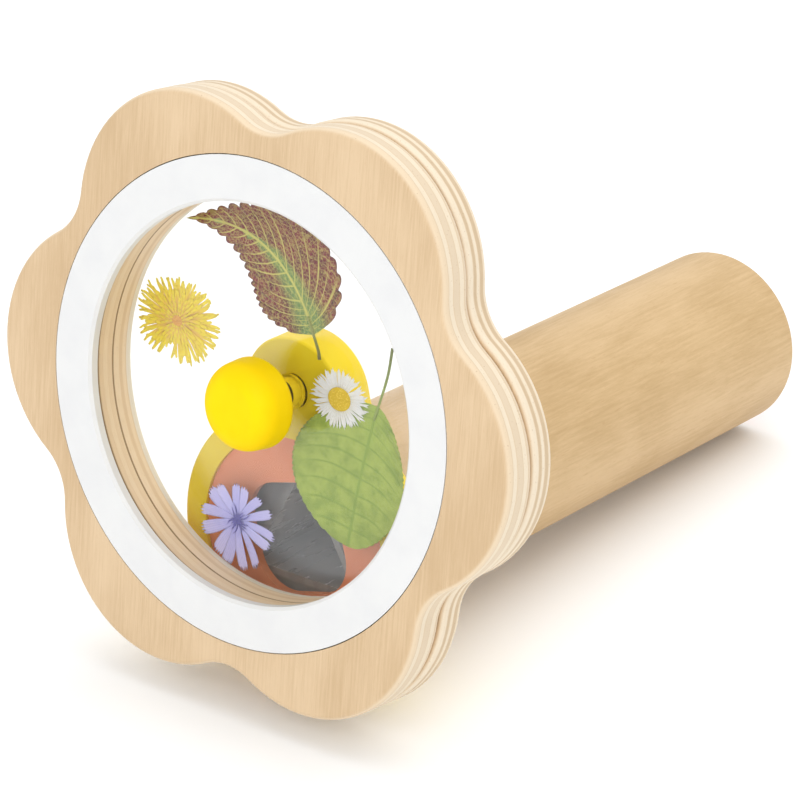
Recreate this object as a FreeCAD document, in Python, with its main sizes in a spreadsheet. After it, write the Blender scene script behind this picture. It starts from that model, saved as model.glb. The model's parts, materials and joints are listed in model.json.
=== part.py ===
"""Hand-held kaleidoscope: a wooden tube with a mirror prism, and a six-lobed plywood
flower wheel that turns in front of it on an axle above the tube.

Frame: +Z up, the wheel at the front (-Y), the tube running back along +Y, X = 0 the
plane of symmetry. The object stands level on the rim of the bracket and the far end of the
tube, with the wheel just clear of the table. Millimetres.

Each piece is modelled in one of two local frames and then placed:
- the wheel frame: origin on the axle axis in the front plate's face, local Z out of
  that face along the axle, local Y up the face;
- the tube frame: origin on the tube axis in the bracket's front face, local Z along
  the tube axis towards the front.
"""
import FreeCAD, Part
import math
import os
import Sketcher
from FreeCAD import Placement, Rotation, Vector

doc = FreeCAD.newDocument("kaleidoscope")

# ---------------------------------------------------------------- driving dimensions

DIMENSIONS = {
    # wheel, depths measured back from the front face
    "lobe_centre": 41.9,
    "lobe_radius": 31.8,
    "notch_centre": 77.3,
    "front_thickness": 8.95,
    "plate_gap": 0.12,
    "rear_thickness": 7.2,
    "plate_round": 1.4,
    "plate_turn": 0.8,
    "opening_radius": 47.5,
    "ring_outer": 57.0,
    "ring_inner": 46.4,
    "ring_thickness": 2.6,
    "ring_bevel": 0.7,
    "ring_gap": 0.25,
    "dowel_circle": 65.0,
    "dowel_radius": 2.0,
    "dowel_clearance": 0.08,
    "dowel_hole_depth": 5.2,
    "dowel_depth_front": 3.95,
    "dowel_length": 10.0,
    # windows and the plants between them
    "front_window_depth": 13.4,
    "front_window_radius": 47.2,
    "front_window_thickness": 1.2,
    "rear_window_depth": 15.15,
    "rear_window_radius": 50.4,
    "rear_window_thickness": 1.05,
    "window_seat_radius": 50.5,
    "plant_thickness": 0.16,
    "flower_depth": 14.66,
    "leaf_depth": 14.9,
    # axle, spacer and knob
    "axle_radius": 2.0,
    "axle_tip_depth": 0.6,
    "axle_end_depth": 28.7,
    "axle_head_radius": 3.6,
    "axle_head_thickness": 2.4,
    "axle_socket": 2.5,
    "axle_socket_depth": 1.5,
    "washer_radius": 4.6,
    "washer_thickness": 0.8,
    "nut_flats": 7.0,
    "nut_thickness": 3.2,
    "running_gap": 0.07,
    "bush_radius": 3.5,
    "bush_flange_radius": 4.2,
    "bush_flange_thickness": 0.6,
    "sleeve_radius": 3.6,
    "knob_radius": 10.8,
    "knob_thickness": 10.1,
    "knob_draft": 4.8,
    "knob_proud": 4.3,
    "knob_front_round": 5.0,
    "knob_rear_round": 1.8,
    "insert_radius": 3.2,
    "insert_length": 5.5,
    "face_gap": 0.05,
    # bracket, distances measured back from its front face
    "bracket_depth": 17.7,
    "tube_tilt": 5.0,
    "axle_height": 38.9,
    "bracket_thickness": 10.0,
    "bracket_radius": 33.0,
    "hub_radius": 14.6,
    "hub_drop": 2.0,
    "waist_radius": 30.0,
    "bracket_round": 0.7,
    "mask_radius": 26.7,
    "mask_gap": 0.1,
    "mask_recess": 0.9,
    "mask_thickness": 2.0,
    "aperture_half": 13.6,
    "aperture_corner": 9.5,
    "aperture_turn": 15.0,
    "aperture_right": 1.0,
    "aperture_rise": 1.7,
    # tube and what is in it, distances measured back from the bracket's front face
    "tube_radius": 23.5,
    "spigot_radius": 22.5,
    "spigot_end": 10.3,
    "tube_bore": 20.0,
    "tube_start": 3.0,
    "tube_end": 178.8,
    "tube_round": 1.7,
    "mirror_width": 31.0,
    "mirror_thickness": 1.8,
    "mirror_start": 3.6,
    "mirror_end": 166.0,
    "packing_start": 5.0,
    "packing_end": 160.0,
    "packing_radius": 19.9,
    "eyepiece_radius": 19.95,
    "eyepiece_hole": 7.0,
    "eyepiece_chamfer": 2.2,
    "eyepiece_recess": 0.8,
    "eyepiece_thickness": 4.0,
    "eyepiece_window_thickness": 1.5,
    "eyepiece_spacer_bore": 18.95,
}

sheet = doc.addObject("Spreadsheet::Sheet", "dims")
for row, (alias, number) in enumerate(DIMENSIONS.items(), start=1):
    sheet.set(f"A{row}", alias)
    sheet.set(f"B{row}", str(number))
    sheet.setAlias(f"B{row}", alias)
doc.recompute()


class Dim:
    """A length or angle kept both as a number and as the expression that gives it."""

    def __init__(self, value, text):
        self.value = value
        self.text = text

    def _join(self, other, sign, value):
        return Dim(value, f"({self.text} {sign} {as_dim(other).text})")

    def __add__(self, other):
        return self._join(other, "+", self.value + as_dim(other).value)

    def __sub__(self, other):
        return self._join(other, "-", self.value - as_dim(other).value)

    def __mul__(self, other):
        return self._join(other, "*", self.value * as_dim(other).value)

    def __truediv__(self, other):
        return self._join(other, "/", self.value / as_dim(other).value)

    def __neg__(self):
        return Dim(-self.value, f"(0 - {self.text})")


def as_dim(number):
    return number if isinstance(number, Dim) else Dim(float(number), repr(float(number)))


def cell(alias):
    """The sheet's cell of that name."""
    return Dim(float(sheet.get(alias)), f"dims.{alias}")


def cos(angle):
    angle = as_dim(angle)
    return Dim(math.cos(math.radians(angle.value)), f"cos({angle.text} * 1 deg)")


def sin(angle):
    angle = as_dim(angle)
    return Dim(math.sin(math.radians(angle.value)), f"sin({angle.text} * 1 deg)")


# ------------------------------------------------------------------ the two frames

def lowest(radius, depth, edge, slope):
    """Height, below the tube frame's origin, of a round piece's rounded rim at that depth."""
    radius, depth, edge = cell(radius).value, cell(depth).value, cell(edge).value
    return -(depth - edge) * math.sin(slope) - (radius - edge) * math.cos(slope) - edge


def lowest_of_bracket(slope):
    return lowest("bracket_radius", "bracket_thickness", "bracket_round", slope)


def resting_slope():
    """The tube's slope, in radians, at which the bracket and the tube's end both touch down."""
    low, high = 0.0, math.radians(10)
    for _ in range(50):
        middle = (low + high) / 2
        if lowest("tube_radius", "tube_end", "tube_round", middle) > lowest_of_bracket(middle):
            low = middle
        else:
            high = middle
    return low


def tilted(base, angle):
    """A frame whose local Z points forward and up by angle, and local Y up."""
    return Placement(base, Rotation(Vector(1, 0, 0), 90 - math.degrees(angle)))


SLOPE = resting_slope()
LEAN = SLOPE + math.radians(cell("tube_tilt").value)


def frames(front):
    """The wheel frame and the tube frame, with the tube's origin at y = front."""
    tube = tilted(Vector(0, front, -lowest_of_bracket(SLOPE)), SLOPE)
    hub = tube.multVec(Vector(0, cell("axle_height").value, 0))
    forward = tilted(Vector(), LEAN).multVec(Vector(0, 0, cell("bracket_depth").value))
    return tilted(hub + forward, LEAN), tube


def y_limits():
    """The front and rear limits of the object when the tube's origin is at y = 0."""
    wheel, tube = frames(0.0)
    edge = cell("plate_round").value
    lobe_drop = cell("lobe_centre").value * math.sin(math.radians(60)) + cell("lobe_radius").value
    front = wheel.multVec(Vector(0, edge - lobe_drop, -edge)).y - edge
    tube_edge = cell("tube_round").value
    inset = cell("tube_radius").value - tube_edge
    rear = tube.multVec(Vector(0, inset, tube_edge - cell("tube_end").value)).y + tube_edge
    return front, rear


WHEEL, TUBE = frames(-sum(y_limits()) / 2)

# --------------------------------------------------------------------- construction

pieces = []


def keep(piece, label, placement):
    """Names a finished piece, places it and puts it on the list to be written."""
    piece.Label = label
    piece.Placement = placement.multiply(piece.Placement)
    pieces.append(piece)
    return piece


def new_body(name):
    return doc.addObject("PartDesign::Body", name + "_body")


def origin_plane(body, role):
    return [item for item in body.Origin.OriginFeatures if item.Role == role][0]


def new_sketch(body, name, level=0.0, role="XY_Plane", tilt=0.0, offset=0.0):
    """A sketch on one of the body's own planes, raised to level and tilted about X."""
    sketch = body.newObject("Sketcher::SketchObject", name)
    sketch.AttachmentSupport = [(origin_plane(body, role), "")]
    sketch.MapMode = "FlatFace"
    level = as_dim(level)
    offset = as_dim(offset)
    turn = Rotation(Vector(1, 0, 0), as_dim(tilt).value)
    sketch.AttachmentOffset = Placement(Vector(0, offset.value, level.value), turn)
    sketch.setExpression("AttachmentOffset.Base.y", offset.text)
    sketch.setExpression("AttachmentOffset.Base.z", level.text)
    return sketch


def constrain(sketch, kind, *where):
    """Adds a constraint; where ends in the Dim that drives it."""
    drive = as_dim(where[-1])
    index = sketch.addConstraint(Sketcher.Constraint(kind, *where[:-1], drive.value))
    sketch.setExpression(f"Constraints[{index}]", drive.text)


def pin_point(sketch, geometry, point, x, y):
    """Ties one point of a sketch's geometry to x, y measured from its origin."""
    x, y = as_dim(x), as_dim(y)
    for kind, value, axis in (("DistanceX", x, -2), ("DistanceY", y, -1)):
        if abs(value.value) < 1e-9:
            sketch.addConstraint(Sketcher.Constraint("PointOnObject", geometry, point, axis))
        else:
            constrain(sketch, kind, -1, 1, geometry, point, value)


def add_circle(sketch, radius, x=0.0, y=0.0):
    radius = as_dim(radius)
    centre = Vector(as_dim(x).value, as_dim(y).value, 0)
    index = sketch.addGeometry(Part.Circle(centre, Vector(0, 0, 1), radius.value))
    pin_point(sketch, index, 3, x, y)
    constrain(sketch, "Radius", index, radius)


def add_outline(sketch, corners):
    """A closed polygon through the corners, each a pair of dimensions."""
    points = [Vector(as_dim(x).value, as_dim(y).value, 0) for x, y in corners]
    lines = [sketch.addGeometry(Part.LineSegment(points[i], points[(i + 1) % len(points)]))
             for i in range(len(points))]
    for i, line in enumerate(lines):
        following = lines[(i + 1) % len(lines)]
        sketch.addConstraint(Sketcher.Constraint("Coincident", line, 2, following, 1))
        pin_point(sketch, line, 1, *corners[i])


def add_hexagon(sketch, flats):
    """A regular hexagon of that size across its flats."""
    corner = flats / 2.0 / cos(30.0)
    add_outline(sketch, [(corner * cos(60.0 * k), corner * sin(60.0 * k)) for k in range(6)])


def add_tangent_arcs(sketch, arcs):
    """A closed chain of tangent arcs. Each arc is (centre x, centre y, radius, start, end,
    turn, guess), with angles in degrees. A centre or radius is None where tangency settles
    it, and guess is the (x, y, radius) that the solver starts from."""
    count = len(arcs)
    for _, _, _, start, end, _, guess in arcs:
        circle = Part.Circle(Vector(guess[0], guess[1], 0), Vector(0, 0, 1), guess[2])
        sketch.addGeometry(Part.ArcOfCircle(circle, math.radians(start), math.radians(end)))
    for i, (_, _, _, _, _, turn, _) in enumerate(arcs):
        following = (i + 1) % count
        last = 2 if turn > 0 else 1
        first = 1 if arcs[following][5] > 0 else 2
        sketch.addConstraint(Sketcher.Constraint("Tangent", i, last, following, first))
    for i, (cx, cy, radius, _, _, _, _) in enumerate(arcs):
        if cx is not None:
            pin_point(sketch, i, 3, cx, cy)
        if radius is not None:
            constrain(sketch, "Radius", i, radius)


def finish_feature(body, feature, grows):
    """Recomputes, and makes sure that the feature added or removed material."""
    before = body.Shape.Volume if body.Shape and not body.Shape.isNull() else 0.0
    doc.recompute()
    change = body.Shape.Volume - before
    if (change > 0) != grows or abs(change) < 1e-6:
        raise RuntimeError(f"{body.Label}: {feature.Label} changed the volume by {change}")
    return feature


def pad(body, sketch, length, draft=None):
    """Material from the sketch up along its normal, narrowing by the draft angle if given."""
    feature = body.newObject("PartDesign::Pad", sketch.Label + "_pad")
    feature.Profile = sketch
    feature.setExpression("Length", as_dim(length).text)
    if draft is not None:
        feature.setExpression("TaperAngle", (-draft).text)
    return finish_feature(body, feature, grows=True)


def pocket(body, sketch, depth=None, upward=False):
    """A cut from the sketch, down its normal or upward, or through everything."""
    feature = body.newObject("PartDesign::Pocket", sketch.Label + "_pocket")
    feature.Profile = sketch
    feature.Reversed = upward
    if depth is None:
        feature.Type = "ThroughAll"
        feature.Midplane = True
    else:
        feature.setExpression("Length", as_dim(depth).text)
    return finish_feature(body, feature, grows=False)


def revolve(body, corners, name="profile"):
    """A solid of revolution about local Z from corners given as (radius, height)."""
    sketch = new_sketch(body, name, role="XZ_Plane")
    add_outline(sketch, corners)
    feature = body.newObject("PartDesign::Revolution", name + "_revolution")
    feature.Profile = sketch
    feature.ReferenceAxis = (sketch, ["V_Axis"])
    feature.Angle = 360
    return finish_feature(body, feature, grows=True)


def edges_where(shape, test):
    return [f"Edge{i}" for i, edge in enumerate(shape.Edges, start=1) if test(edge)]


def round_edges(body, radius, test, kind="Fillet", name="rounding"):
    """Fillets or chamfers the edges that pass the test."""
    base = body.Tip
    feature = body.newObject("PartDesign::" + kind, name)
    feature.Base = (base, edges_where(base.Shape, test))
    feature.setExpression("Radius" if kind == "Fillet" else "Size", as_dim(radius).text)
    return finish_feature(body, feature, grows=False)


def level_edge(level, least_radius=0.0):
    """A test for edges that lie in the plane z = level, outside a radius."""
    level = as_dim(level).value

    def test(edge):
        ends = [edge.BoundBox.ZMin, edge.BoundBox.ZMax]
        point = edge.valueAt((edge.FirstParameter + edge.LastParameter) / 2)
        outside = math.hypot(point.x, point.y) > least_radius
        return max(abs(end - level) for end in ends) < 1e-4 and outside
    return test


def ring_profile(inner, outer, bottom, top):
    return [(inner, bottom), (outer, bottom), (outer, top), (inner, top)]


def simple_ring(name, inner, outer, bottom, top, placement):
    """A plain ring, tube or washer about local Z."""
    body = new_body(name)
    revolve(body, ring_profile(inner, outer, bottom, top))
    return keep(body, name, placement)


# ------------------------------------------------------------------ the flower wheel

def flower_outline(sketch):
    """Six convex lobes joined by six smaller concave notches, all tangent."""
    reach = cell("lobe_centre").value
    lobe = cell("lobe_radius").value
    notch_reach = cell("notch_centre").value
    step = math.radians(30)
    gap = Vector(notch_reach * math.cos(step) - reach, notch_reach * math.sin(step), 0)
    notch = gap.Length - lobe
    spread = math.degrees(math.atan2(gap.y, gap.x))
    arcs = []
    for k in range(6):
        angle = 60 * k
        x, y = cell("lobe_centre") * cos(angle), cell("lobe_centre") * sin(angle)
        guess = (x.value, y.value, lobe)
        arcs.append((x, y, cell("lobe_radius"), angle - spread, angle + spread, 1, guess))
        angle += 30
        x, y = cell("notch_centre") * cos(angle), cell("notch_centre") * sin(angle)
        back = angle + 180
        half = spread - 30
        guess = (x.value, y.value, notch)
        arcs.append((None, None, None, back - half, back + half, -1, guess))
    add_tangent_arcs(sketch, arcs)
    for k in range(6):
        constrain(sketch, "Distance", -1, 1, 2 * k + 1, 3, cell("notch_centre"))


def dowel_holes(body, level, upward, turn=as_dim(0.0)):
    """Blind holes for the three dowels, in a plate that is turned by turn degrees."""
    sketch = new_sketch(body, "dowel_holes", level)
    radius = cell("dowel_radius") + (cell("dowel_clearance") if upward else 0.0)
    for k in range(3):
        angle = as_dim(120.0 * k) - turn
        add_circle(sketch, radius, cell("dowel_circle") * cos(angle), cell("dowel_circle") * sin(angle))
    pocket(body, sketch, cell("dowel_hole_depth"), upward=upward)


def front_plate():
    body = new_body("front_plate")
    bottom = -cell("front_thickness")
    outline = new_sketch(body, "outline", bottom)
    flower_outline(outline)
    pad(body, outline, cell("front_thickness"))
    for level in (0.0, bottom):
        round_edges(body, cell("plate_round"), level_edge(level, 60.0), name="edge_rounding")
    opening = new_sketch(body, "opening")
    add_circle(opening, cell("opening_radius"))
    pocket(body, opening)
    seat = new_sketch(body, "ring_seat")
    add_circle(seat, cell("ring_outer") + cell("ring_gap"))
    pocket(body, seat, cell("ring_thickness"))
    turn = -cell("plate_turn")
    dowel_holes(body, bottom, True, turn)
    body.Placement = Placement(Vector(), Rotation(Vector(0, 0, 1), turn.value))
    keep(body, "front_plate", WHEEL)


def rear_plate():
    body = new_body("rear_plate")
    top = -cell("front_thickness") - cell("plate_gap")
    bottom = top - cell("rear_thickness")
    outline = new_sketch(body, "outline", bottom)
    flower_outline(outline)
    pad(body, outline, cell("rear_thickness"))
    for level in (top, bottom):
        round_edges(body, cell("plate_round"), level_edge(level, 60.0), name="edge_rounding")
    opening = new_sketch(body, "opening", top)
    add_circle(opening, cell("opening_radius"))
    pocket(body, opening)
    seat = new_sketch(body, "window_seat", bottom)
    add_circle(seat, cell("window_seat_radius"))
    pocket(body, seat, -cell("rear_window_depth") - bottom, upward=True)
    dowel_holes(body, top, False)
    keep(body, "rear_plate", WHEEL)


def white_ring():
    """The ring fills its seat flush, with a bevel round the inner front edge."""
    body = new_body("white_ring")
    inner, outer = cell("ring_inner"), cell("ring_outer")
    bottom, bevel = -cell("ring_thickness"), cell("ring_bevel")
    revolve(body, [(inner, bottom), (outer, bottom), (outer, 0.0),
                   (inner + bevel, 0.0), (inner, -bevel)])
    keep(body, "white_ring", WHEEL)


def window(name):
    """Clear disc with a hole for the centre bush."""
    top = -cell(name + "_depth")
    bottom = top - cell(name + "_thickness")
    simple_ring(name, cell("bush_radius"), cell(name + "_radius"), bottom, top, WHEEL)


def centre_bush():
    """Plastic bush through both windows, with a flange behind the rear one."""
    body = new_body("centre_bush")
    bore = cell("axle_radius") + cell("running_gap")
    back = -cell("rear_window_depth") - cell("rear_window_thickness")
    rear = back - cell("bush_flange_thickness")
    front = -cell("front_window_depth")
    revolve(body, [(bore, rear), (cell("bush_flange_radius"), rear), (cell("bush_flange_radius"), back),
                   (cell("bush_radius"), back), (cell("bush_radius"), front), (bore, front)])
    keep(body, "centre_bush", WHEEL)


def locating_dowels():
    body = new_body("locating_dowels")
    level = -cell("dowel_depth_front") - cell("dowel_length")
    sketch = new_sketch(body, "dowels", level)
    for k in range(3):
        add_circle(sketch, cell("dowel_radius"),
                   cell("dowel_circle") * cos(120.0 * k), cell("dowel_circle") * sin(120.0 * k))
    body.AllowCompound = True
    pad(body, sketch, cell("dowel_length"))
    keep(body, "locating_dowels", WHEEL)


# Pressed plants: centre x, y in the window and radius
FLOWERS = {
    "dandelion": (-33.2, 9.3, 12.3),
    "daisy": (15.6, 2.5, 8.2),
    "chicory": (-12.0, -34.0, 11.2),
}
ROUND_LEAF = (18.5, -14.3, 16.5)
# The pointed leaf: middle x, y, half length, half width and direction of its tip
POINTED_LEAF = (-7.5, 27.5, 23.3, 13.2, 157.0)


def plant_disc(name, x, y, radius, depth):
    """A pressed flower or leaf as a thin disc between the windows."""
    disc = doc.addObject("Part::Cylinder", name + "_disc")
    disc.Radius = radius
    disc.setExpression("Height", "dims.plant_thickness")
    level = -cell(depth).value - cell("plant_thickness").value
    disc.Placement = Placement(Vector(x, y, level), Rotation())
    return disc


def plants():
    for name, (x, y, radius) in FLOWERS.items():
        keep(plant_disc(name, x, y, radius, "flower_depth"), name, WHEEL)
    keep(plant_disc("round_leaf", *ROUND_LEAF, "leaf_depth"), "round_leaf", WHEEL)
    x, y, length, width, direction = POINTED_LEAF
    radius = (length ** 2 + width ** 2) / (2 * width)
    turn = Rotation(Vector(0, 0, 1), direction)
    leaf = doc.addObject("Part::Common", "coleus_shape")
    sides = []
    for side in (-1, 1):
        shift = turn.multVec(Vector(0, side * (radius - width), 0))
        sides.append(plant_disc(f"coleus_side_{side + 2}", x + shift.x, y + shift.y, radius, "leaf_depth"))
    leaf.Base, leaf.Tool = sides
    doc.recompute()
    keep(leaf, "coleus_leaf", WHEEL)


# ------------------------------------------------------------- axle, spacer and knob

def axle_bolt():
    """Machine screw from behind the bracket's small lobe to inside the knob."""
    body = new_body("axle_bolt")
    end = -cell("axle_end_depth")
    neck = end + cell("axle_head_thickness")
    tip = -cell("axle_tip_depth")
    revolve(body, [(0.0, end), (cell("axle_head_radius"), end), (cell("axle_head_radius"), neck),
                   (cell("axle_radius"), neck), (cell("axle_radius"), tip), (0.0, tip)])
    socket = new_sketch(body, "hexagon_socket", end)
    add_hexagon(socket, cell("axle_socket"))
    pocket(body, socket, cell("axle_socket_depth"), upward=True)
    keep(body, "axle_bolt", WHEEL)


def axle_washer():
    bottom = -cell("axle_end_depth") + cell("axle_head_thickness")
    simple_ring("axle_washer", cell("axle_radius"), cell("washer_radius"),
                bottom, bottom + cell("washer_thickness"), WHEEL)


def nut_level():
    """Front face of the nut, let into the bracket below the lowest part of its face."""
    return -cell("bracket_depth") - cell("nut_flats") * 0.5 * sin(cell("tube_tilt")) - 0.4


def axle_nut():
    body = new_body("axle_nut")
    sketch = new_sketch(body, "hexagon", nut_level() - cell("nut_thickness"))
    add_hexagon(sketch, cell("nut_flats"))
    add_circle(sketch, cell("axle_radius"))
    pad(body, sketch, cell("nut_thickness"))
    keep(body, "axle_nut", WHEEL)


def spacer_sleeve():
    """Dark sleeve between the front window and the knob."""
    simple_ring("spacer_sleeve", cell("axle_radius") + cell("running_gap"), cell("sleeve_radius"),
                -cell("front_window_depth") + cell("face_gap"),
                cell("knob_proud") - cell("knob_thickness") - cell("face_gap"), WHEEL)


def knob():
    body = new_body("knob")
    rear = cell("knob_proud") - cell("knob_thickness")
    sketch = new_sketch(body, "knob_round", rear)
    add_circle(sketch, cell("knob_radius"))
    pad(body, sketch, cell("knob_thickness"), draft=cell("knob_draft"))
    for level, radius in ((cell("knob_proud"), cell("knob_front_round")), (rear, cell("knob_rear_round"))):
        round_edges(body, radius, level_edge(level), name="knob_rounding")
    hole = new_sketch(body, "insert_hole", rear)
    add_circle(hole, cell("insert_radius"))
    pocket(body, hole, cell("insert_length"), upward=True)
    keep(body, "knob", WHEEL)


def knob_insert():
    rear = cell("knob_proud") - cell("knob_thickness")
    simple_ring("knob_insert", cell("axle_radius") + cell("running_gap"), cell("insert_radius"),
                rear, rear + cell("insert_length"), WHEEL)


# -------------------------------------------------------------------------- bracket

def snowman_outline(sketch):
    """Big lobe at the origin, small lobe near the axle's height, slightly concave waists."""
    big, small = cell("bracket_radius").value, cell("hub_radius").value
    hub_y = cell("axle_height") - cell("hub_drop")
    waist, height = cell("waist_radius").value, hub_y.value
    a, b = big + waist, small + waist
    y = (a * a - b * b + height * height) / (2 * height)
    x = math.sqrt(a * a - y * y)
    low = math.degrees(math.atan2(y, x))
    high = math.degrees(math.atan2(y - height, x))
    add_tangent_arcs(sketch, [
        (0.0, 0.0, cell("bracket_radius"), 180 - low, 360 + low, 1, (0, 0, big)),
        (None, None, cell("waist_radius"), 180 + high, 180 + low, -1, (x, y, waist)),
        (0.0, hub_y, cell("hub_radius"), high, 180 - high, 1, (0, height, small)),
        (None, None, cell("waist_radius"), -low, -high, -1, (-x, y, waist)),
    ])


def bracket():
    """The block that joins the axle to the tube."""
    body = new_body("bracket")
    back = -cell("bracket_thickness")
    outline = new_sketch(body, "outline", back)
    snowman_outline(outline)
    pad(body, outline, cell("bracket_thickness"))
    for level in (0.0, back):
        round_edges(body, cell("bracket_round"), level_edge(level), name="edge_rounding")
    bore = new_sketch(body, "tube_bore")
    add_circle(bore, cell("spigot_radius"))
    pocket(body, bore)
    seat = new_sketch(body, "mask_seat")
    add_circle(seat, cell("mask_radius") + cell("mask_gap"))
    pocket(body, seat, cell("mask_recess") + cell("mask_thickness"))
    tilt = -cell("tube_tilt").value
    height = cell("axle_height")
    axle_hole = new_sketch(body, "axle_hole", 0.0, tilt=tilt, offset=height)
    add_circle(axle_hole, cell("axle_radius"))
    pocket(body, axle_hole)
    nut_seat = new_sketch(body, "nut_seat", nut_seat_level(), tilt=tilt, offset=nut_seat_offset())
    add_circle(nut_seat, cell("nut_flats") / 2.0 / cos(30.0) + 0.1)
    pocket(body, nut_seat, 6.0, upward=True)
    depth = cell("axle_end_depth") - cell("bracket_depth") - cell("axle_head_thickness")
    shoulder = depth - cell("washer_thickness")
    head_seat = new_sketch(body, "head_seat", -(shoulder * cos(cell("tube_tilt"))),
                           tilt=tilt, offset=height - shoulder * sin(cell("tube_tilt")))
    add_circle(head_seat, cell("washer_radius") + 0.2)
    pocket(body, head_seat, 12.0)
    keep(body, "bracket", TUBE)


def nut_seat_reach():
    """Distance along the axle from the bracket's face to the bottom of the nut's seat."""
    return -nut_level() + cell("nut_thickness") - cell("bracket_depth")


def nut_seat_level():
    return -(nut_seat_reach() * cos(cell("tube_tilt")))


def nut_seat_offset():
    return cell("axle_height") - nut_seat_reach() * sin(cell("tube_tilt"))


# ------------------------------------------------------------ the tube and its inside

def mask_disc():
    """Disc with a rounded square aperture in front of the mirrors."""
    body = new_body("mask_disc")
    bottom = -cell("mask_recess") - cell("mask_thickness")
    sketch = new_sketch(body, "disc", bottom)
    add_circle(sketch, cell("mask_radius"))
    pad(body, sketch, cell("mask_thickness"))
    hole = new_sketch(body, "aperture", -cell("mask_recess"))
    half, right, rise = cell("aperture_half"), cell("aperture_right"), cell("aperture_rise")
    add_outline(hole, [(right + half, rise - half), (right + half, rise + half),
                       (right - half, rise + half), (right - half, rise - half)])
    pocket(body, hole)
    corner = math.hypot(half.value, half.value)

    def is_corner(edge):
        upright = edge.BoundBox.ZLength > cell("mask_thickness").value - 1e-6
        point = edge.valueAt(edge.FirstParameter)
        reach = math.hypot(point.x - right.value, point.y - rise.value)
        return upright and abs(reach - corner) < 1e-4
    base = body.Tip
    feature = body.newObject("PartDesign::Fillet", "aperture_corners")
    feature.Base = (base, edges_where(base.Shape, is_corner))
    feature.setExpression("Radius", "dims.aperture_corner")
    finish_feature(body, feature, grows=True)
    body.Placement = Placement(Vector(), Rotation(Vector(0, 0, 1), cell("aperture_turn").value))
    keep(body, "mask_disc", TUBE)


def tube():
    """Turned tube, with a thinner spigot that is glued into the bracket."""
    body = new_body("tube")
    end, shoulder, start = -cell("tube_end"), -cell("spigot_end"), -cell("tube_start")
    revolve(body, [(cell("tube_bore"), end), (cell("tube_radius"), end), (cell("tube_radius"), shoulder),
                   (cell("spigot_radius"), shoulder), (cell("spigot_radius"), start),
                   (cell("tube_bore"), start)])
    inner = cell("tube_bore").value + 0.5
    round_edges(body, cell("tube_round"), level_edge(end, inner), name="far_rounding")
    keep(body, "tube", TUBE)


def mirrors():
    """Three strips round an equilateral prism, reflecting sides inward."""
    inradius = cell("mirror_width") / (2 * math.sqrt(3))
    for k in range(3):
        strip = doc.addObject("Part::Box", f"mirror_{k + 1}_strip")
        strip.setExpression("Length", cell("mirror_width").text)
        strip.setExpression("Width", cell("mirror_thickness").text)
        strip.setExpression("Height", (cell("mirror_end") - cell("mirror_start")).text)
        corner = Vector(-cell("mirror_width").value / 2, inradius.value, -cell("mirror_end").value)
        turn = Rotation(Vector(0, 0, 1), 120 * k + 180)
        strip.Placement = Placement(turn.multVec(corner), turn)
        keep(strip, f"mirror_{k + 1}", TUBE)


def packing():
    """Foam strips that fill the space between each mirror's back and the tube."""
    inradius = cell("mirror_width") / (2 * math.sqrt(3))
    chord = inradius.value + cell("mirror_thickness").value + 0.05
    radius = cell("packing_radius").value
    length = cell("packing_end") - cell("packing_start")
    for k in range(3):
        foam = doc.addObject("Part::Cylinder", f"packing_{k + 1}_round")
        foam.setExpression("Radius", cell("packing_radius").text)
        foam.setExpression("Height", length.text)
        foam.Placement = Placement(Vector(0, 0, -cell("packing_end").value), Rotation())
        block = doc.addObject("Part::Box", f"packing_{k + 1}_block")
        block.Length = 2 * radius
        block.Width = radius - chord + 1
        block.setExpression("Height", length.text)
        turn = Rotation(Vector(0, 0, 1), 120 * k + 180)
        corner = Vector(-radius, chord, -cell("packing_end").value)
        block.Placement = Placement(turn.multVec(corner), turn)
        strip = doc.addObject("Part::Common", f"packing_{k + 1}_strip")
        strip.Base = foam
        strip.Tool = block
        doc.recompute()
        keep(strip, f"packing_{k + 1}", TUBE)


def eyepiece():
    """Clear window held between a card spacer and the disc to look through."""
    radius = cell("eyepiece_radius")
    disc_back = -cell("tube_end") + cell("eyepiece_recess")
    disc_front = disc_back + cell("eyepiece_thickness")
    body = new_body("eyepiece_disc")
    revolve(body, ring_profile(cell("eyepiece_hole"), radius, disc_back, disc_front))
    limit = cell("eyepiece_hole").value + 0.5

    def is_rim(edge):
        return level_edge(disc_back)(edge) and edge.BoundBox.XLength < 2 * limit
    round_edges(body, cell("eyepiece_chamfer"), is_rim, kind="Chamfer", name="eye_chamfer")
    keep(body, "eyepiece_disc", TUBE)
    window_body = new_body("eyepiece_window")
    sketch = new_sketch(window_body, "window_round", disc_front)
    add_circle(sketch, radius)
    pad(window_body, sketch, cell("eyepiece_window_thickness"))
    keep(window_body, "eyepiece_window", TUBE)
    simple_ring("eyepiece_spacer", cell("eyepiece_spacer_bore"), radius,
                disc_front + cell("eyepiece_window_thickness"), -cell("mirror_end"), TUBE)


# ------------------------------------------------------------------------- assembly

front_plate()
white_ring()
rear_plate()
window("front_window")
window("rear_window")
centre_bush()
locating_dowels()
plants()
axle_bolt()
axle_washer()
axle_nut()
spacer_sleeve()
knob()
knob_insert()
bracket()
mask_disc()
tube()
mirrors()
packing()
eyepiece()
doc.recompute()

for item in doc.Objects:
    if {"Invalid", "Error"} & set(item.State):
        raise RuntimeError(f"{item.Label} failed: {item.State}")
for piece in pieces:
    if piece.Shape.isNull() or not piece.Shape.isValid() or not piece.Shape.Solids:
        raise RuntimeError(f"{piece.Label} has no valid solid")

os.makedirs("parts", exist_ok=True)
for piece in pieces:
    piece.Shape.exportStep(f"parts/{piece.Label}.step")

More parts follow.
